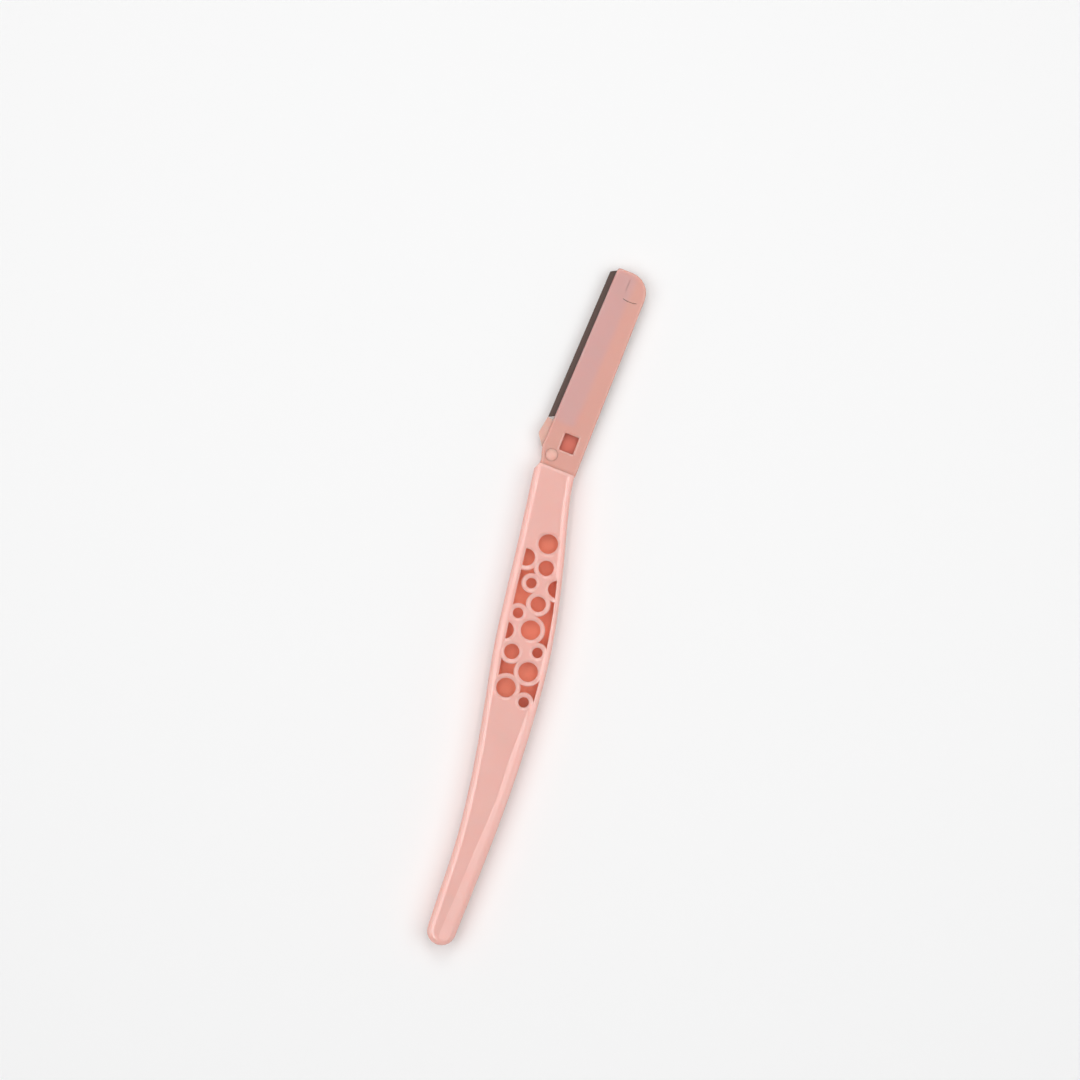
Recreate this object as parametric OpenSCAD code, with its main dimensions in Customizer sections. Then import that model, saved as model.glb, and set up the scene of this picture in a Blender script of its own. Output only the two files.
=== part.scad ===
// Folding eyebrow razor, lying on its back with the head open.
// +Y runs from the tail to the tip, +Z out of the front face, and the
// origin is on the pivot axis at the back face. The head folds to -X.

/* [Handle] */
// Pivot axis to the tail end
handle_l = 105; // [95:1:120]
// Pivot axis to the handle's blade-side edge at the neck
neck_left = 2.75; // [2.4:0.05:3.2]
// Pivot axis to the handle's spine edge at the neck
neck_right = 5.85; // [5.7:0.05:6.6]
// How far the spine edge swells past the neck at the belly
belly_out = 5.05; // [4:0.05:7]
// How far the blade-side edge drifts towards the spine by the tail
waist_in = 4.45; // [3.5:0.05:5]
// Radius of the round tail end
tail_r = 3.05; // [2.6:0.05:3.4]
// Front shell thickness
front_t = 1.2; // [1.1:0.05:2]
// Back shell thickness
back_t = 1.2; // [1:0.05:2]
// Thickness of the liner's sheet
liner_t = 0.8; // [0.6:0.05:1.5]
// Spine wall, from the shells' outline to the slot
wall = 1; // [0.6:0.05:1.05]
// How far the liner's edge stands back from the shells' edges
liner_recess = 0.15; // [0.05:0.05:0.3]
// Width of the rounded band along the front shell's edge
edge_band = 1.4; // [0.8:0.05:1.5]
// Height of that rounded band
edge_drop = 0.6; // [0.3:0.05:0.7]
// Width and height of the rounding along the back shell's edge
back_round = 0.6; // [0.3:0.05:0.8]
// Slope of the long facet on the lower handle, in degrees
facet_angle = 5; // [0:0.5:6]
// How far the hollow runs on past the window
cavity_room = 2; // [1.5:0.1:4]
// Radius of the pegs that hold the two shells together
peg_r = 1.2; // [0.8:0.05:1.5]
// How deep the pegs stand in the front shell
peg_depth = 0.6; // [0.3:0.05:0.7]

/* [Neck] */
// Pivot axis to the end of the front shell, along the head
seam_drop = 2.4; // [2.3:0.05:2.9]
// Pivot axis to the tang's blade-side edge
tang_left = 1.7; // [1.5:0.05:1.9]
// Pivot axis to the tang's back edge
tang_right = 5.7; // [5:0.05:5.9]
// Pivot axis to the tang's round end
tang_top = 7.2; // [6.8:0.1:12]
// Radius of the tang's two corners
tang_r = 2; // [1:0.1:3]
// Rounding along the tang's back edges
tang_round = 0.3; // [0.1:0.05:0.35]
// Width of the slope along the seam
seam_slope_w = 0.55; // [0.3:0.05:0.8]
// Fall of that slope
seam_slope_h = 0.2; // [0.1:0.05:0.4]
// Height of the slanted shoulder beside the seam
shoulder_h = 2.1; // [1.5:0.05:2.6]
// Width of that shoulder
shoulder_w = 0.85; // [0.75:0.05:1.2]

/* [Bubble window] */
// Pivot axis to the top of the first bubble
window_top = 16; // [15:0.1:16.4]
// Length of the bubble pattern
window_l = 36.5; // [36:0.1:37.2]
// Left rail, from the handle's edge to the window
rail_left = 2; // [1.8:0.05:2.2]
// Right rail, from the handle's edge to the window
rail_right = 1.1; // [1:0.05:1.3]
// Radius of the large bubbles
bubble_large_r = 2.05; // [1.9:0.05:2.15]
// Radius of the middle bubbles
bubble_mid_r = 1.6; // [1.45:0.05:1.7]
// Radius of the small bubbles
bubble_small_r = 1.1; // [0.9:0.05:1.2]
// Radius of the bubbles that the rails cut off
bubble_cut_r = 1.8; // [1.65:0.05:1.9]
// Wall of the ring round each bubble
ring_w = 1; // [0.95:0.05:1.1]
// Width of the sloped rim round each bubble
rim_w = 0.6; // [0.3:0.05:0.65]
// Fall of that rim
rim_h = 0.2; // [0.1:0.05:0.35]
// Width and height of the chamfer on the gaps
edge_cut = 0.15; // [0.1:0.05:0.35]

/* [Head] */
// How far the tip stands past the blade
tip_past = 0.6; // [0.5:0.05:1.5]
// Pivot axis to the head's back edge
head_back = 6.3; // [6.2:0.05:6.8]
// Pivot axis to the head's hidden foot, under the front shell
head_foot = 3; // [2.95:0.05:3.4]
// Lean of the open head from the handle's chord, in degrees
head_lean = 6.4; // [5.5:0.1:7]
// Radius of the round corner at the tip
tip_r = 4.4; // [2:0.1:5]
// Radius of the head's small corners
nose_r = 0.6; // [0.3:0.05:0.8]
// Thickness of the blade carrier
carrier_t = 1.1; // [0.9:0.05:1.5]
// Thickness of the blade cover
cover_t = 0.9; // [0.8:0.05:1.2]
// Rounding along the head's outer edges
head_round = 0.45; // [0.15:0.05:0.45]
// Room between the head and the handle, above and below
head_gap = 0.2; // [0.18:0.01:0.3]
// Room between the head's foot and the spine's stop
stop_gap = 0.05; // [0.03:0.01:0.1]
// Room between the sweeping tip and the end of the slot's mouth
mouth_gap = 0.9; // [0.5:0.1:2]
// Width of the square window beside the pivot
port_w = 3.15; // [2.5:0.05:3.4]
// Length of the square window
port_l = 3.75; // [3:0.05:4]
// Radius of the square window's corners
port_r = 0.3; // [0.2:0.05:0.5]
// Width of the square window's sloped rim
port_rim_w = 0.4; // [0.2:0.05:0.6]
// Fall of that rim
port_rim_h = 0.15; // [0.1:0.05:0.3]
// Pivot axis to the square window's middle, across the head
port_x = 2.57; // [2.5:0.01:2.8]
// Pivot axis to the square window's middle, along the head
port_y = 3.5; // [3.4:0.05:3.8]
// Width of the snap tab at the tip
tab_w = 3; // [2:0.1:3.2]
// Length of the snap tab
tab_l = 4.2; // [3:0.1:4.4]
// Tip to the snap tab's lower slit
tab_drop = 5.9; // [5.5:0.1:8]
// Radius of the bow of that slit
tab_bow_r = 5.2; // [4.8:0.2:9]
// Pivot axis to the snap tab's side groove
tab_x = 1.95; // [1:0.05:2]
// Length of the groove beside the snap tab, from the tab's upper end down
tab_cut = 2.2; // [1:0.1:2.9]
// Depth of that groove
groove = 0.25; // [0.2:0.05:0.6]
// Width of that slit and of the groove beside the tab
slit = 0.1; // [0.08:0.01:0.4]
// How far the snap tab stands proud
tab_rise = 0.08; // [0.05:0.01:0.1]

/* [Blade] */
// Length of the blade
blade_l = 33.9; // [30:0.1:36]
// Width of the blade
blade_w = 6; // [4.5:0.1:6.4]
// Thickness of the blade
blade_t = 0.3; // [0.2:0.01:0.35]
// Width of steel that stands clear of the cover
blade_show = 1.3; // [1:0.05:1.5]
// Width of the ground bevel
bevel_w = 0.7; // [0.4:0.05:0.9]
// Rise of the blade's slanted ends over the bare width
blade_slant = 0.75; // [0.4:0.05:1]
// Pivot axis to the foot of the cutting edge, across the head
edge_x = 3.65; // [3.5:0.05:3.75]
// Pivot axis to the foot of the cutting edge, along the head
edge_y = 7.1; // [7:0.05:7.3]
// Lean of the cutting edge from the head's own axis, in degrees
edge_lean = 1.7; // [1.4:0.1:1.9]
// Pivot axis to the outermost point of the heel guard
heel_x = 4.25; // [4:0.05:4.3]
// Radius of the heel guard's outer corner
heel_r = 1; // [0.4:0.1:1.5]
// Radius of the blade's locating pegs
stud_r = 0.75; // [0.5:0.05:0.9]
// How far the locating pegs stand up into the cover
stud_rise = 0.5; // [0.3:0.05:0.6]
// Room round the locating pegs and round the blade in its pocket
seat_gap = 0.05; // [0.03:0.01:0.08]

/* [Pivot] */
// Radius of the pin's shank
pin_r = 0.85; // [0.7:0.05:0.95]
// Radius of the pin's domed head
pin_head_r = 1.25; // [1.2:0.05:1.35]
// Height of the dome
dome_h = 0.35; // [0.25:0.05:0.6]
// Height of the straight rim under the dome
dome_rim = 0.2; // [0.1:0.05:0.3]
// Radius of the pin's flat foot
pin_foot_r = 1.3; // [1.2:0.05:1.4]
// Thickness of the foot
pin_foot_t = 0.45; // [0.3:0.05:0.6]
// Running clearance round the shank
bore_gap = 0.05; // [0.02:0.01:0.09]
// Radius of the recess round the dome
recess_r = 1.4; // [1.4:0.05:1.8]
// Depth of that recess
recess_t = 0.2; // [0.15:0.05:0.35]
// Play under the pin's head
pin_play = 0.05; // [0.03:0.01:0.1]
// Outer radius of the pivot washer
washer_r = 1.6; // [1.3:0.05:1.7]
// Thickness of the washer
washer_t = 0.15; // [0.1:0.01:0.16]

/* [Hidden] */
$fn = 48;
over = 0.4;                 // overrun of every cut
edge_steps = 4;             // rings in a rounded edge
side_steps = 4;             // points between two stations of the handle
arc_steps = 6;              // points in a quarter of an outline's arc

// Heights of the layers, from the back face up
z_slot = back_t + liner_t;
z_head = z_slot + head_gap;
z_cover = z_head + carrier_t;
z_face = z_cover + cover_t;
z_front = z_face + head_gap;
z_top = z_front + front_t;

head_l = edge_y + blade_l * cos(edge_lean) + tip_past;
tab_y = head_l - tab_drop;
mouth_reach = head_l + mouth_gap;
cavity_reach = max(window_top + window_l + cavity_room, mouth_reach);
mouth_share = 0.25;         // how far across the handle the mouth is cut at its lower end

// Stations of the handle: share of its length from the pivot, then how far
// the blade-side edge, the spine edge and the facet's ridge have moved across
station_shares = [
    [-0.04, -0.02, -0.05, 0.95],
    [ 0.04,  0.00,  0.00, 0.95],
    [ 0.10,  0.07,  0.14, 0.95],
    [ 0.20,  0.17,  0.50, 0.95],
    [ 0.30,  0.24,  0.81, 0.95],
    [ 0.40,  0.35,  0.98, 0.95],
    [ 0.50,  0.59,  1.00, 0.95],
    [ 0.60,  0.82,  0.94, 0.84],
    [ 0.70,  0.97,  0.80, 0.82],
    [ 0.80,  1.00,  0.60, 0.66],
    [ 0.90,  0.87,  0.36, 0.55]];
tail_share = 0.77;          // the tail's blade-side edge, as in the second column
ridge_end_share = 0.42;     // the ridge at the tail, as in the last column
facet_start_share = 0.94;   // the facet starts where the last column falls under this

// Bubbles: share along the window, share across the handle there, and the kind
bubble_kinds = [bubble_large_r, bubble_mid_r, bubble_small_r, bubble_cut_r];
large = 0;
mid = 1;
small = 2;
cut = 3;
bubble_shares = [
    [0.060, 0.630, large], [0.164, 0.234, cut], [0.197, 0.658, mid], [0.301, 0.424, small],
    [0.299, 0.914, cut], [0.408, 0.618, mid], [0.485, 0.292, small], [0.597, 0.133, cut],
    [0.562, 0.571, large], [0.707, 0.323, mid], [0.677, 0.766, small], [0.797, 0.677, large],
    [0.915, 0.345, large], [0.971, 0.724, small]];

// Pegs between the shells, as shares from the hollow's end to the tail and across the handle
peg_shares = [[0.11, 0.5], [0.46, 0.5], [0.81, 0.48]];
// Studs under the blade, as shares along and across it
stud_shares = [[0.12, 0.62], [0.5, 0.62], [0.88, 0.62]];

// Corners of the head that no other piece meets, as shares of the head's sizes
waist_share = 0.7;          // the plate's waist below the heel, of the foot of the edge across
waist_y_share = 0.18;       // and of the foot of the edge along
foot_share = 0.76;          // the foot's blade-side corner, of the tang's blade-side edge
heel_y_share = 0.47;        // height of the heel's outermost point, of the foot of the edge
heel_foot_share = 0.13;     // height of the heel's lower end

function unit(v) = v / norm(v);
function mix(a, b, t) = a + (b - a) * t;
function lift(points, z) = [for (p = points) [p.x, p.y, z]];

// A smooth curve through the points, with n steps in each span
function curve_at(a, b, c, d, t) =
    (2 * b + (c - a) * t + (2 * a - 5 * b + 4 * c - d) * t * t + (3 * b - a - 3 * c + d) * t * t * t) / 2;
function smooth(p, n) = let (last = len(p) - 1) [
    for (i = [0:last - 1], j = [0:n - 1])
        curve_at(p[max(i - 1, 0)], p[i], p[i + 1], p[min(i + 2, last)], j / n),
    p[last]];

// The closed outline, drawn anticlockwise, moved inwards by d
function inward(a, b) = let (d = unit(b - a)) [-d.y, d.x];
function inset(p, d) = let (n = len(p)) [
    for (i = [0:n - 1])
        let (m1 = inward(p[(i + n - 1) % n], p[i]), m2 = inward(p[i], p[(i + 1) % n]))
        p[i] + (m1 + m2) * d / (1 + m1 * m2)];

// Corners written as [x, y, radius], each turned into an arc
function corner(a, b, c, r) = let (
    u = unit(a - b), v = unit(c - b), half = acos(u * v) / 2,
    centre = b + unit(u + v) * r / sin(half),
    from = b + u * r / tan(half) - centre,
    turn = (u.y * v.x - u.x * v.y > 0 ? 1 : -1) * (180 - 2 * half))
    [for (i = [0:arc_steps])
        let (k = turn * i / arc_steps)
        centre + [from.x * cos(k) - from.y * sin(k), from.x * sin(k) + from.y * cos(k)]];
function rounded(corners) = let (n = len(corners), p = [for (c = corners) [c.x, c.y]]) [
    for (i = [0:n - 1])
        each (corners[i].z > 0
            ? corner(p[(i + n - 1) % n], p[i], p[(i + 1) % n], corners[i].z)
            : [p[i]])];

// The rings of a slab with a rounded upper edge
function slab_rings(p, t, band, drop) = concat(
    [lift(p, 0)],
    [for (i = [0:edge_steps])
        let (a = 90 * i / edge_steps)
        lift(inset(p, band * (1 - cos(a))), t - drop * (1 - sin(a)))]);
// The flat end over n points from the index k on, in strips across the outline
function end_faces(n, k, up) = let (
    strips = [for (i = [0:floor(n / 2) - 2])
        let (a = k + i, b = a + 1, c = k + n - 2 - i, d = c + 1) each [[a, d, c], [a, c, b]]],
    tip = n % 2 == 0 ? [] : let (m = k + (n - 1) / 2) [[m - 1, m + 1, m]])
    [for (f = concat(strips, tip)) up ? f : [f[0], f[2], f[1]]];
// The side faces between rings of n points
function wall_faces(n, rings) = [
    for (k = [0:rings - 2], i = [0:n - 1])
        let (a = k * n + i, b = k * n + (i + 1) % n)
        each [[a, a + n, b + n], [a, b + n, b]]];

// The handle's two edges, from the neck to the tail
tail_y = tail_r - handle_l;
tail_x = -neck_left + waist_in * tail_share + tail_r;
function side(column, start, travel, end) = smooth(concat(
    [for (s = station_shares) [start + s[column] * travel, -s[0] * handle_l]], [end]), side_steps);
left_side = side(1, -neck_left, waist_in, [tail_x - tail_r, tail_y]);
right_side = side(2, neck_right, belly_out, [tail_x + tail_r, tail_y]);
function tail_arc(hand) = [for (i = [1:arc_steps - 1])
    let (a = 90 * i / arc_steps)
    [tail_x + hand * tail_r * cos(a), tail_y - tail_r * sin(a)]];
left_edge = concat(left_side, tail_arc(-1));
right_edge = concat(right_side, tail_arc(1));
ridge = [for (s = smooth(concat(
    [for (s = station_shares) [s[3], 0]], [[ridge_end_share, 0]]), side_steps)) s.x];
ridge_at = concat(ridge, [for (i = [1:arc_steps - 1]) ridge_end_share]);
last = len(left_edge) - 1;
function opposite(i) = 2 * last + 2 - i;
handle_outline = concat(left_edge, [[tail_x, -handle_l]], [for (i = [last:-1:0]) right_edge[i]]);

// The place a share of the way across the handle at the height y
function x_at(edge, y) = lookup(y, [for (i = [len(edge) - 1:-1:0]) [edge[i].y, edge[i].x]]);
function across(y, s) = [mix(x_at(left_side, y), x_at(right_side, y), s), y];
bubbles = [for (s = bubble_shares) across(-window_top - s[0] * window_l, s[1])];
function bubble_r(i) = bubble_kinds[bubble_shares[i][2]];
function meets_rail(i) = bubble_shares[i][2] == cut;

// Places on the blade, in the head's own axes
function on_blade(x, y) = [
    -edge_x + x * cos(edge_lean) + y * sin(edge_lean),
    edge_y - x * sin(edge_lean) + y * cos(edge_lean)];
plate_foot = on_blade(blade_show, 0);
plate_nose = on_blade(blade_show, blade_l);

head_outline = rounded([
    [head_back, -head_foot, nose_r],
    [head_back, head_l, tip_r],
    [plate_nose.x, head_l, nose_r],
    [plate_foot.x, plate_foot.y, 0],
    [-waist_share * edge_x, waist_y_share * edge_y, nose_r],
    [-foot_share * tang_left, -head_foot, nose_r]]);
heel_outline = rounded([
    concat(on_blade(0, 0), 0),
    [-heel_x, heel_y_share * edge_y, heel_r],
    [-waist_share * edge_x, heel_foot_share * edge_y, port_r],
    [0, heel_foot_share * edge_y, 0],
    [0, plate_foot.y, 0]]);
blade_outline = [
    [0, 0], [blade_show, blade_slant], [blade_w, blade_slant],
    [blade_w, blade_l], [blade_show, blade_l], [0, blade_l - blade_slant]];
tang_outline = rounded([
    [-tang_left, -seam_drop - shoulder_h, 0],
    [tang_right, -seam_drop - shoulder_h, 0],
    [tang_right, tang_top, tang_r],
    [-tang_left, tang_top, tang_r]]);
function port_outline(grow) = let (x = port_w / 2 + grow, y = port_l / 2 + grow, r = port_r + grow)
    rounded([for (c = [[-1, -1], [1, -1], [1, 1], [-1, 1]]) [port_x + c.x * x, port_y + c.y * y, r]]);

// The window between the rails, widened by grow
function window_outline(grow) = let (
    l = inset(handle_outline, rail_left - grow), r = inset(handle_outline, rail_right - grow),
    foot = len(left_side) - 1)
    concat([for (i = [1:foot]) l[i]], [for (i = [foot:-1:1]) r[opposite(i)]]);

module loft(rings) {
    n = len(rings[0]);
    polyhedron(
        [for (r = rings) each r],
        concat(end_faces(n, 0, false), wall_faces(n, len(rings)), end_faces(n, (len(rings) - 1) * n, true)));
}

module head_axes() {
    rotate([0, 0, -head_lean]) children();
}

module blade_axes() {
    translate([-edge_x, edge_y, 0]) rotate([0, 0, -edge_lean]) children();
}

module prism(points, z0, z1) {
    translate([0, 0, z0]) linear_extrude(z1 - z0) polygon(points);
}

module drum(r, z0, z1) {
    translate([0, 0, z0]) cylinder(h = z1 - z0, r = r);
}

// All that the handle's layers lose past the seam and beside its shoulder
module past_seam() {
    head_axes() prism([
        [-handle_l, -seam_drop - shoulder_h],
        [-tang_left - shoulder_w, -seam_drop - shoulder_h],
        [-tang_left, -seam_drop],
        [handle_l, -seam_drop],
        [handle_l, handle_l],
        [-handle_l, handle_l]], -over, z_top + over);
}

// The pin's shank and foot, as holes through the layers that hold it
module pin_seat() {
    drum(pin_r, -over, z_slot + over);
    drum(pin_foot_r, -over, pin_foot_t);
}

module at_pegs() {
    for (s = peg_shares) translate(across(-mix(cavity_reach, handle_l, s[0]), s[1])) children();
}

module at_studs() {
    blade_axes() for (s = stud_shares) translate([s[1] * blade_w, s[0] * blade_l, 0]) children();
}

// A round cutter through the front shell, of radius r up to the rim, whose
// slope is w wide and h high; a negative w narrows the cutter
module punch(r, w, h, z) {
    top = z_top - z_front - h;
    rise = h - z;
    translate([0, 0, z_front]) rotate_extrude() polygon([
        [0, z], [r, z], [r, top], [r + w * rise / h, top + rise], [0, top + rise]]);
}

// One bubble, with its sloped rim at the front face
module bubble(i) {
    translate(bubbles[i]) punch(bubble_r(i), rim_w, rim_h, -over);
}

// The ring that stays standing round a bubble where a gap passes it
module ring(i) {
    translate(bubbles[i]) punch(bubble_r(i) + ring_w, -edge_cut, edge_cut, -2 * over);
}

// An open gap between the bubbles of the list and a rail, -1 for the left and 1 for the right
module gap(rail, list) {
    line = [for (i = list) bubbles[i]];
    far = rail * handle_l;
    difference() {
        prism(concat([[far, line[0].y]], line, [[far, line[len(line) - 1].y]]), z_front - over, z_top + over);
        for (i = list) ring(i);
    }
}

module window_form() {
    loft([
        lift(window_outline(0), z_front - over),
        lift(window_outline(0), z_top - edge_cut),
        lift(window_outline(edge_cut + over), z_top + over)]);
}

// Front shell: the lower handle's facet falls from the ridge to the spine edge
module front_form() {
    n = len(handle_outline);
    flat = inset(handle_outline, edge_band);
    crest = [for (i = [0:last]) mix(flat[i], flat[opposite(i)], ridge_at[i])];
    function station(i) = min(i, last, opposite(i));
    function fall(p, i) = let (k = station(i))
        ridge_at[k] < facet_start_share ? max(0, p.x - crest[k].x) * tan(facet_angle) : 0;
    rings = [for (r = slab_rings(handle_outline, front_t, edge_band, edge_drop))
        [for (i = [0:n - 1]) let (p = r[i]) [p.x, p.y, p.z > 0 ? p.z - fall(p, i) : p.z]]];
    top = (len(rings) - 1) * n;
    function m(i) = top + n + i - 1;
    polyhedron(
        concat([for (r = rings) each r], [for (i = [1:last]) [crest[i].x, crest[i].y, front_t]]),
        concat(end_faces(n, 0, false), wall_faces(n, len(rings)),
            [[top, m(1), top + 1], [top, top + n - 1, m(1)], [top + n - 1, top + n - 2, m(1)]],
            [for (i = [1:last - 1]) each [
                [top + i, m(i), m(i + 1)],
                [top + i, m(i + 1), top + i + 1],
                [m(i), top + opposite(i), top + opposite(i + 1)],
                [m(i), top + opposite(i + 1), m(i + 1)]]],
            [[top + last, m(last), top + last + 1], [m(last), top + last + 2, top + last + 1]]));
}

module front_shell() color("#ebb2a6") difference() {
    translate([0, 0, z_front]) front_form();
    past_seam();
    head_axes() translate([-handle_l, -seam_drop, z_top]) rotate([90, 0, 90])
        linear_extrude(2 * handle_l) polygon([
            [-seam_slope_w * (1 + over / seam_slope_h), over],
            [over, -seam_slope_h * (1 + over / seam_slope_w)],
            [over, over]]);
    for (i = [0:len(bubbles) - 1]) if (!meets_rail(i)) bubble(i);
    intersection() {
        window_form();
        union() {
            for (i = [0:len(bubbles) - 1]) if (meets_rail(i)) bubble(i);
            gap(-1, [1, 2, 3, 5, 6]);
            gap(1, [4, 5, 8, 10]);
            gap(-1, [9, 11, 12]);
            gap(1, [11, 12, 13]);
        }
    }
    at_pegs() drum(peg_r, z_front - over, z_front + peg_depth + seat_gap);
}

module back_shell() color("#e6aa9e") difference() {
    union() {
        difference() {
            translate([0, 0, back_t]) mirror([0, 0, 1])
                loft(slab_rings(handle_outline, back_t, back_round, back_round));
            past_seam();
        }
        head_axes() translate([0, 0, back_t]) mirror([0, 0, 1])
            loft(slab_rings(tang_outline, back_t, tang_round, tang_round));
        at_pegs() drum(peg_r, back_t - over, z_front + peg_depth);
    }
    pin_seat();
}

// The hollow over the sheet: the spine wall stays, and the mouth is open
module hollow_plan() {
    intersection() {
        polygon(inset(handle_outline, wall));
        circle(r = cavity_reach);
    }
    intersection() {
        polygon([
            [-handle_l, -handle_l], [across(-mouth_reach, mouth_share).x, -handle_l],
            [across(-mouth_reach, mouth_share).x, handle_l], [-handle_l, handle_l]]);
        circle(r = mouth_reach);
    }
    rotate(-head_lean) translate([-handle_l, -head_foot - stop_gap]) square([2 * handle_l, 2 * handle_l]);
}

module inner_liner() color("#e2714f") difference() {
    union() {
        difference() {
            union() {
                prism(inset(handle_outline, liner_recess), back_t, z_slot);
                translate([0, 0, z_slot]) linear_extrude(z_front - z_slot) difference() {
                    polygon(inset(handle_outline, liner_recess));
                    hollow_plan();
                }
            }
            past_seam();
        }
        head_axes() prism(inset(tang_outline, liner_recess), back_t, z_slot);
    }
    pin_seat();
    at_pegs() drum(peg_r + seat_gap, back_t - over, z_front + over);
}

module blade_carrier() color("#e8beaf") {
    difference() {
        head_axes() {
            translate([0, 0, z_cover]) mirror([0, 0, 1])
                loft(slab_rings(head_outline, carrier_t, head_round, head_round));
            prism(heel_outline, z_head + head_round, z_cover);
        }
        head_axes() {
            blade_axes() prism(inset(blade_outline, -seat_gap), z_cover - blade_t, z_cover + over);
            prism(port_outline(0), z_head - over, z_cover + over);
        }
        drum(pin_r + bore_gap, z_head - over, z_cover + over);
    }
    head_axes() at_studs() drum(stud_r, z_cover - blade_t - over, z_cover + stud_rise);
}

module blade() color("#5f5450") head_axes() blade_axes() translate([0, 0, z_cover - blade_t])
    difference() {
        intersection() {
            prism(blade_outline, 0, blade_t);
            translate([0, blade_l + over, 0]) rotate([90, 0, 0]) linear_extrude(blade_l + 2 * over)
                polygon([[0, blade_t / 2], [bevel_w, 0], [blade_w, 0], [blade_w, blade_t], [bevel_w, blade_t]]);
        }
        for (s = stud_shares)
            translate([s[1] * blade_w, s[0] * blade_l, 0]) drum(stud_r + seat_gap, -over, blade_t + over);
    }

// A rectangular cut through the cover
// A disc whose edge is the bow of the snap tab's lower end, moved out by grow
module tab_bow(grow, z0, z1) {
    translate([tab_x + tab_w / 2, tab_y + tab_bow_r, 0]) drum(tab_bow_r + grow, z0, z1);
}

module blade_cover() color("#e2a898") {
    difference() {
        head_axes() {
            translate([0, 0, z_cover]) loft(slab_rings(head_outline, cover_t, head_round, head_round));
            intersection() {
                prism(rounded([
                    [tab_x, tab_y - over, 0],
                    [tab_x + tab_w, tab_y - over, 0],
                    [tab_x + tab_w, tab_y + tab_l, tab_w / 2],
                    [tab_x, tab_y + tab_l, port_r]]), z_cover + cover_t / 2, z_face + tab_rise);
                tab_bow(0, z_cover, z_face + over);
            }
        }
        head_axes() {
            intersection() {
                difference() {
                    tab_bow(slit, z_cover - over, z_face + over);
                    tab_bow(0, z_cover - 2 * over, z_face + 2 * over);
                }
                translate([tab_x, tab_y - over, z_cover - 2 * over]) cube([tab_w, tab_bow_r, cover_t + 4 * over]);
            }
            translate([tab_x - slit, tab_y + tab_l - tab_cut, z_face - groove]) cube([slit, tab_cut, groove + over]);
            prism(port_outline(0), z_cover - over, z_face);
            loft([
                lift(port_outline(0), z_face - port_rim_h),
                lift(port_outline(port_rim_w * (1 + over / port_rim_h)), z_face + over)]);
            at_studs() drum(stud_r, z_cover - over, z_cover + stud_rise + seat_gap);
        }
        drum(pin_r + bore_gap, z_cover - over, z_face + over);
        drum(recess_r, z_face - recess_t, z_face + over);
    }
}

module pivot_pin() color("#efc3b4") {
    head_z = z_face - recess_t + pin_play;
    dome_z = head_z + dome_rim;
    ball_r = (pin_head_r * pin_head_r + dome_h * dome_h) / dome_h / 2;
    dome_a = asin(pin_head_r / ball_r);
    rotate_extrude() polygon(concat(
        [[0, 0], [pin_foot_r, 0], [pin_foot_r, pin_foot_t], [pin_r, pin_foot_t],
            [pin_r, head_z], [pin_head_r, head_z]],
        [for (i = [0:arc_steps])
            let (a = dome_a * (1 - i / arc_steps))
            [ball_r * sin(a), dome_z + dome_h - ball_r * (1 - cos(a))]]));
}

module pivot_washer() color("#c9ccd0") difference() {
    drum(washer_r, z_slot, z_slot + washer_t);
    drum(pin_r + bore_gap, z_slot - over, z_slot + washer_t + over);
}

front_shell();
inner_liner();
back_shell();
pivot_pin();
pivot_washer();
blade_carrier();
blade();
blade_cover();
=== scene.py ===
import math
import bpy
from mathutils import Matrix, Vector

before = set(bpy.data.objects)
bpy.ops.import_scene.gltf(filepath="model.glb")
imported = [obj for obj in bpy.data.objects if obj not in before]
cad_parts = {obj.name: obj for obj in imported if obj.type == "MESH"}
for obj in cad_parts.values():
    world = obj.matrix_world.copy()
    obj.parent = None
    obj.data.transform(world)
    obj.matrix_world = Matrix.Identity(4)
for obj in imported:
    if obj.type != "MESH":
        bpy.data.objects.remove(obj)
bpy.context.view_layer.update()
print("frame loaded:", ", ".join(sorted(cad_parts)))

mm = 0.001
firstColour, secondColour, mixedColour = 6, 7, 2  # the numbers of a Mix node's colour sockets


def linearColour(hexColour):  # sRGB hex to linear RGBA
    parts = [int(hexColour[i:i + 2], 16) / 255 for i in (1, 3, 5)]
    return [p / 12.92 if p <= 0.04045 else ((p + 0.055) / 1.055) ** 2.4 for p in parts] + [1.0]


def addNode(owner, kind, settings=None, links=None):
    # settings go to the new node's sockets or else its properties, links bring other nodes' outputs in
    node = owner.node_tree.nodes.new("ShaderNode" + kind)
    for key, value in (settings or {}).items():
        if isinstance(key, int) or key in node.inputs:
            node.inputs[key].default_value = value
        else:
            setattr(node, key, value)
    for key, output in (links or {}).items():
        owner.node_tree.links.new(output, node.inputs[key])
    return node


def newMaterial(name):
    material = bpy.data.materials.new(name)
    material.use_nodes = True
    material.node_tree.nodes.clear()
    return material


def underShade(material, place, shade):
    # 1 over the given rectangle and 0 beyond its edges, with a soft step between: on the cover, the steel
    # under the plastic; on the liner, the tang's painted shade
    local = addNode(material, "Mapping", {
        "vector_type": "TEXTURE", "Location": [c * mm for c in shade["corner"]] + [0],
        "Rotation": (0, 0, math.radians(shade["turn"]))}, {"Vector": place}).outputs["Vector"]
    axes = addNode(material, "SeparateXYZ", links={"Vector": local}).outputs
    steps = []
    for axis, edge, inward in (("X", shade["width"], -1), ("Y", 0, 1), ("Y", shade["length"], -1)):
        outside, inside = edge - shade["blur"] * inward, edge + shade["blur"] * inward
        steps.append(addNode(material, "MapRange", {
            "interpolation_type": "SMOOTHSTEP", "From Min": outside * mm, "From Max": inside * mm},
            {"Value": axes[axis]}).outputs["Result"])
    cover = steps[0]
    for step in steps[1:]:
        both = addNode(material, "Math", {"operation": "MULTIPLY"}, {0: cover, 1: step})
        cover = both.outputs["Value"]
    return cover


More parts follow.
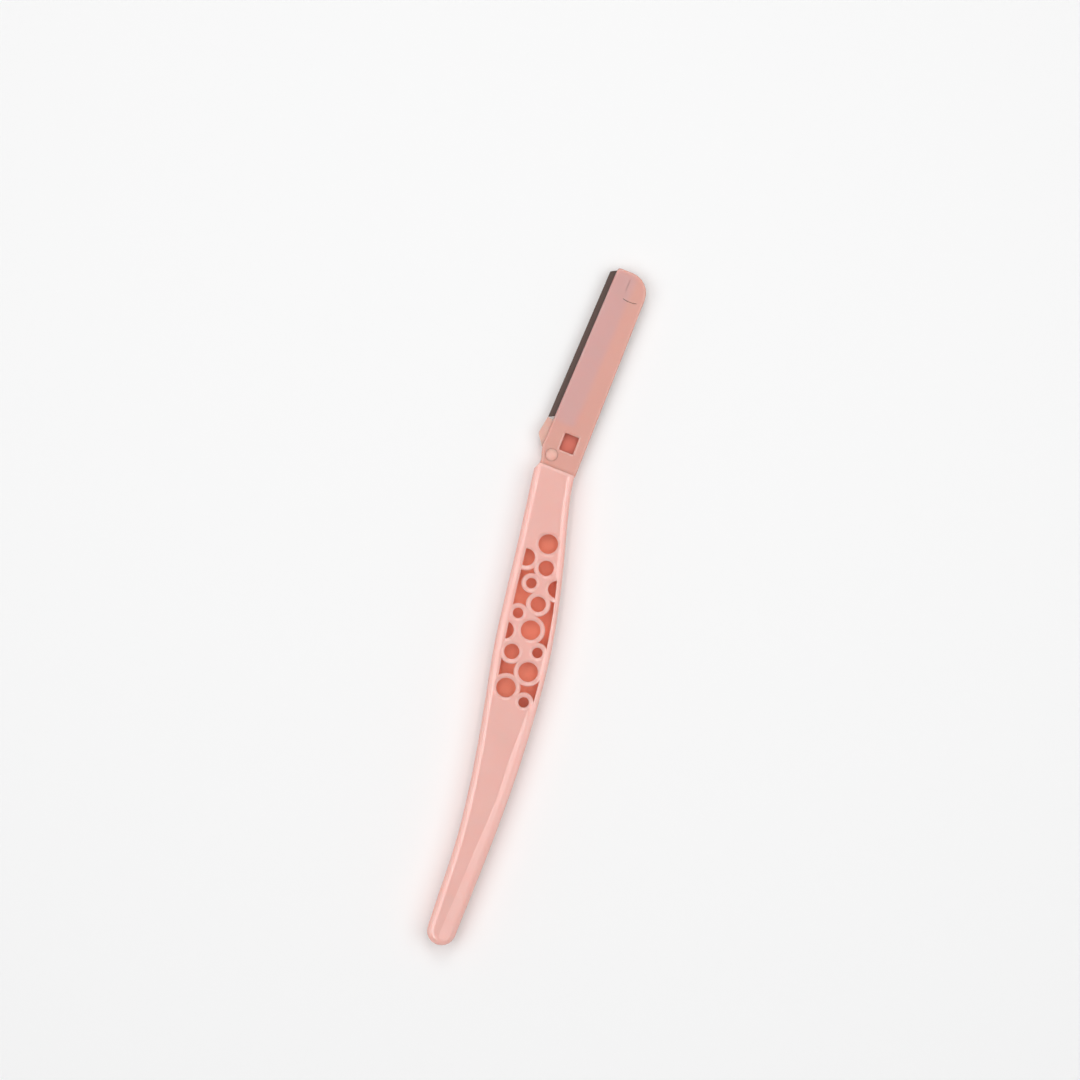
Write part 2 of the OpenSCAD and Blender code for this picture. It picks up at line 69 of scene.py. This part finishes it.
def mouldedPlastic(look):
    material = newMaterial(look["name"])
    place = addNode(material, "TexCoord").outputs["Object"]
    drift = addNode(material, "TexNoise", {
        "Scale": 1 / (look["sink"] * mm)}, {"Vector": place}).outputs["Fac"]
    colour = addNode(material, "Mix", {
        "data_type": "RGBA", firstColour: linearColour(look["base"]),
        secondColour: linearColour(look["deep"])}, {0: drift}).outputs[mixedColour]
    # the shade's colour over the mask: the steel seen through the cover, or the painted shade on the
    # liner's tang
    if "shade" in look:
        under = underShade(material, place, look["shade"])
        colour = addNode(material, "Mix", {
            "data_type": "RGBA", secondColour: linearColour(look["shade"]["colour"])},
            {0: under, firstColour: colour}).outputs[mixedColour]
    grain = addNode(material, "TexNoise", {
        "Scale": 1 / (look["grain"] * mm), "Detail": look["grainDetail"]}, {"Vector": place}).outputs["Fac"]
    waves = addNode(material, "Bump", {
        "Strength": look["sinkStrength"], "Distance": look["sinkHeight"] * mm},
        {"Height": drift}).outputs["Normal"]
    skin = addNode(material, "Bump", {
        "Strength": look["grainStrength"], "Distance": look["grainHeight"] * mm},
        {"Height": grain, "Normal": waves}).outputs["Normal"]
    body = addNode(material, "BsdfPrincipled", {
        "Roughness": look["roughness"], "IOR": look["ior"], "Subsurface Weight": look["subsurface"],
        "Subsurface Radius": look["reachShares"], "Subsurface Scale": look["reach"] * mm,
        "Transmission Weight": look["clear"]}, {"Base Color": colour, "Normal": skin}).outputs["BSDF"]
    addNode(material, "OutputMaterial", links={"Surface": body})
    return material


# Injection-moulded ABS: opaque, but a little light enters it, so shadows in it turn warm. A satin mould
# gives it a soft, broad gloss. Its grain is finer than 0.1 mm and is drawn coarser, so that it shows.
handlePlastic = {
    "name": "mouldedSatinABS",
    "base": "#eebdb4", "deep": "#ecb6ac",  # the tone drifts between these two
    "roughness": 0.17, "ior": 1.54, "clear": 0.0,
    "subsurface": 0.6, "reach": 1.0, "reachShares": (1.0, 0.5, 0.4),  # mm, and shares for red, green, blue
    "grain": 0.35, "grainHeight": 0.004, "grainStrength": 0.6, "grainDetail": 3.0,  # its spacing in mm
    "sink": 9.0, "sinkHeight": 0.02, "sinkStrength": 0.5,  # the long waves of shrinkage, in mm
}

# The same plastic in coral. Where its tang shows in the square window, a painted shade darkens it, standing
# in for the shade at the bottom of that deep well.
linerPlastic = dict(
    handlePlastic, name="mouldedCoralABS", base="#ffa084", deep="#fe987c", subsurface=0.1, shade={
        "colour": "#da7c6b", "corner": (0.2, -1.2), "turn": 0, "width": 5.6, "length": 8, "blur": 0.8})

# Milky polystyrene: a tenth of the light passes and comes out scattered, so it looks a little deep. Its
# base is paler than the cover's: the scene's transmission lets some real light through the thin heel, and
# the paler base is painted light for the rest.
carrierPlastic = dict(
    handlePlastic, name="milkyPolystyreneCarrier", base="#e8bfb1", deep="#e6baac",
    roughness=0.2, ior=1.59, clear=0.1)

# The same polystyrene, thin enough for the steel under it to show as a soft cool shade
coverPlastic = dict(
    carrierPlastic, name="milkyPolystyreneCover", base="#e9b1a4", deep="#e6aa9c", shade={
        "colour": "#e0aea9", "corner": (-1.55, 7.3), "turn": -8.1,
        "width": 4.6, "length": 33.9, "blur": 0.9})

# Moulded acetal: a waxy plastic, a little duller than the ABS round it
pinPlastic = dict(
    handlePlastic, name="glossyAcetal", base="#ecb7aa", deep="#e9b0a2", roughness=0.25, ior=1.48)


def rolledSteel(look):
    material = newMaterial(look["name"])
    place = addNode(material, "TexCoord").outputs["Object"]
    strip = addNode(material, "Mapping", {
        "Scale": (1.0, look["stretch"], 1.0)}, {"Vector": place}).outputs["Vector"]
    lines = addNode(material, "TexNoise", {
        "Scale": 1 / (look["line"] * mm)}, {"Vector": strip}).outputs["Fac"]
    bump = addNode(material, "Bump", {
        "Strength": look["lineStrength"], "Distance": look["lineHeight"] * mm},
        {"Height": lines}).outputs["Normal"]
    body = addNode(material, "BsdfPrincipled", {
        "Base Color": linearColour(look["base"]), "Metallic": 1.0, "Roughness": look["roughness"]},
        {"Normal": bump}).outputs["BSDF"]
    addNode(material, "OutputMaterial", links={"Surface": body})
    return material


# Rolled carbon steel, hardened and blued: nearly black, and the lines of the rolling draw its reflections
# out. Real lines are some hundredths of a millimetre apart, and are drawn coarser so that they show.
bladeSteel = {
    "name": "bluedCarbonSteel", "base": "#4e413d", "roughness": 0.35,
    "line": 0.2, "stretch": 0.03, "lineHeight": 0.004, "lineStrength": 0.4,  # spacing and height in mm
}

# Stamped from rolled stainless sheet: bright, with a sharper gloss
washerSteel = dict(bladeSteel, name="stampedStainlessSteel", base="#c9ccd0", roughness=0.25, line=0.3)

handleFinish = mouldedPlastic(handlePlastic)
finishes = {
    "front_shell": handleFinish,
    "back_shell": handleFinish,
    "inner_liner": mouldedPlastic(linerPlastic),
    "pivot_pin": mouldedPlastic(pinPlastic),
    "pivot_washer": rolledSteel(washerSteel),
    "blade_carrier": mouldedPlastic(carrierPlastic),
    "blade": rolledSteel(bladeSteel),
    "blade_cover": mouldedPlastic(coverPlastic),
}
print("materials made:", ", ".join(sorted({material.name for material in finishes.values()})))

# Sharp edges get the small radius of a real mould, which catches the light
edges = {"weld": 0.001, "width": 0.08, "segments": 2, "sharpest": 50}  # mm, but the last in degrees


def finishPiece(node, material):
    node.data.materials.clear()
    node.data.materials.append(material)
    weld = node.modifiers.new("weld", "WELD")  # closes the mesh, so that the bevel finds its edges
    weld.merge_threshold = edges["weld"] * mm
    bevel = node.modifiers.new("bevel", "BEVEL")
    bevel.width = edges["width"] * mm
    bevel.segments = edges["segments"]
    bevel.limit_method = "ANGLE"
    bevel.angle_limit = math.radians(edges["sharpest"])
    bevel.harden_normals = True


for name, material in finishes.items():
    finishPiece(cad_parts[name], material)
print("pieces finished:", len(finishes))

# The camera looks straight down and is turned as in the photo
camera = {
    "distance": 0.9, "sensor": 36, "lean": math.radians(15.1),
    "centre": (2.31 * mm, -17.82 * mm), "pixels": 1080, "pixel": 0.21 * mm,
}
lens = bpy.data.cameras.new("camera")
lens.sensor_width = camera["sensor"]
lens.lens = camera["sensor"] * camera["distance"] / (camera["pixels"] * camera["pixel"])
eye = bpy.data.objects.new("camera", lens)
eye.location = (*camera["centre"], camera["distance"])
eye.rotation_euler = (0, 0, camera["lean"])
bpy.context.scene.collection.objects.link(eye)
bpy.context.scene.camera = eye

# Matt paper, a little under white, so that it doesn't clip
floorPaper = {"name": "mattPaper", "base": "#f6f6f6", "roughness": 0.9, "size": 6, "drop": 0.02 * mm}
bpy.ops.mesh.primitive_plane_add(size=floorPaper["size"], location=(0, 0, -floorPaper["drop"]))
floor = bpy.context.object
floor.name = "floor"
paper = newMaterial(floorPaper["name"])
sheet = addNode(paper, "BsdfPrincipled", {
    "Base Color": linearColour(floorPaper["base"]),
    "Roughness": floorPaper["roughness"]}).outputs["BSDF"]
addNode(paper, "OutputMaterial", links={"Surface": sheet})
floor.data.materials.append(paper)
print("camera and floor placed")

# Soft boxes aimed at the razor's middle: degrees, with the azimuth from its right side, and metres.
# The walls shine in the rounded edges, the strips in the long facet and down into the bubbles,
# and softTop leaves the bubbles' upper edges dark.
studio = {"aim": (3 * mm, -30 * mm, 0), "distance": 0.8}
lamps = {
    "wallRight": {"azimuth": 0, "elevation": 57, "length": 0.6, "width": 0.4, "radiance": 2.26},
    "wallLeft": {"azimuth": 180, "elevation": 57, "length": 0.6, "width": 0.4, "radiance": 2.26},
    "stripRight": {"azimuth": 0, "elevation": 79, "length": 0.6, "width": 0.07, "radiance": 7.0},
    "stripLeft": {"azimuth": 180, "elevation": 79, "length": 0.6, "width": 0.07, "radiance": 7.0},
    "softTop": {"azimuth": 90, "elevation": 55, "length": 0.4, "width": 0.35, "radiance": 3.1},
    "softFoot": {"azimuth": 270, "elevation": 55, "length": 0.3, "width": 0.25, "radiance": 1.2},
}


def softbox(name, azimuth, elevation, length, width, radiance):
    light = bpy.data.lights.new(name, "AREA")
    light.shape = "RECTANGLE"
    light.size, light.size_y = length, width
    light.energy = radiance * math.pi * length * width  # the watts that give this radiance
    around, up = math.radians(azimuth) + camera["lean"], math.radians(elevation)
    out = Vector((math.cos(around) * math.cos(up), math.sin(around) * math.cos(up), math.sin(up)))
    holder = bpy.data.objects.new(name, light)
    holder.location = Vector(studio["aim"]) + out * studio["distance"]
    holder.rotation_euler = out.to_track_quat("Z", "Y").to_euler()
    holder.visible_camera = False
    bpy.context.scene.collection.objects.link(holder)


for name, lamp in lamps.items():
    softbox(name, **lamp)

# A light tent: its walls are bright and its top is dim, so edges shine and flat faces keep their colour
tentLight = {
    "wall": 0.5, "top": 0.1,  # strengths
    "wallEnds": 0.25, "topStarts": 0.5,  # heights, from 0 at the horizon to 1 overhead
}
tent = bpy.data.worlds.new("lightTent")
tent.use_nodes = True
tent.node_tree.nodes.clear()
direction = addNode(tent, "TexCoord").outputs["Generated"]
height = addNode(tent, "SeparateXYZ", links={"Vector": direction}).outputs["Z"]
strength = addNode(tent, "MapRange", {
    "From Min": tentLight["wallEnds"], "From Max": tentLight["topStarts"],
    "To Min": tentLight["wall"], "To Max": tentLight["top"]}, {"Value": height}).outputs["Result"]
cloth = addNode(tent, "Background", {
    "Color": linearColour("#ffffff")}, {"Strength": strength}).outputs["Background"]
addNode(tent, "OutputWorld", links={"Surface": cloth})
bpy.context.scene.world = tent
bpy.context.scene.view_settings.view_transform = "Standard"
print("light set:", ", ".join(lamps))
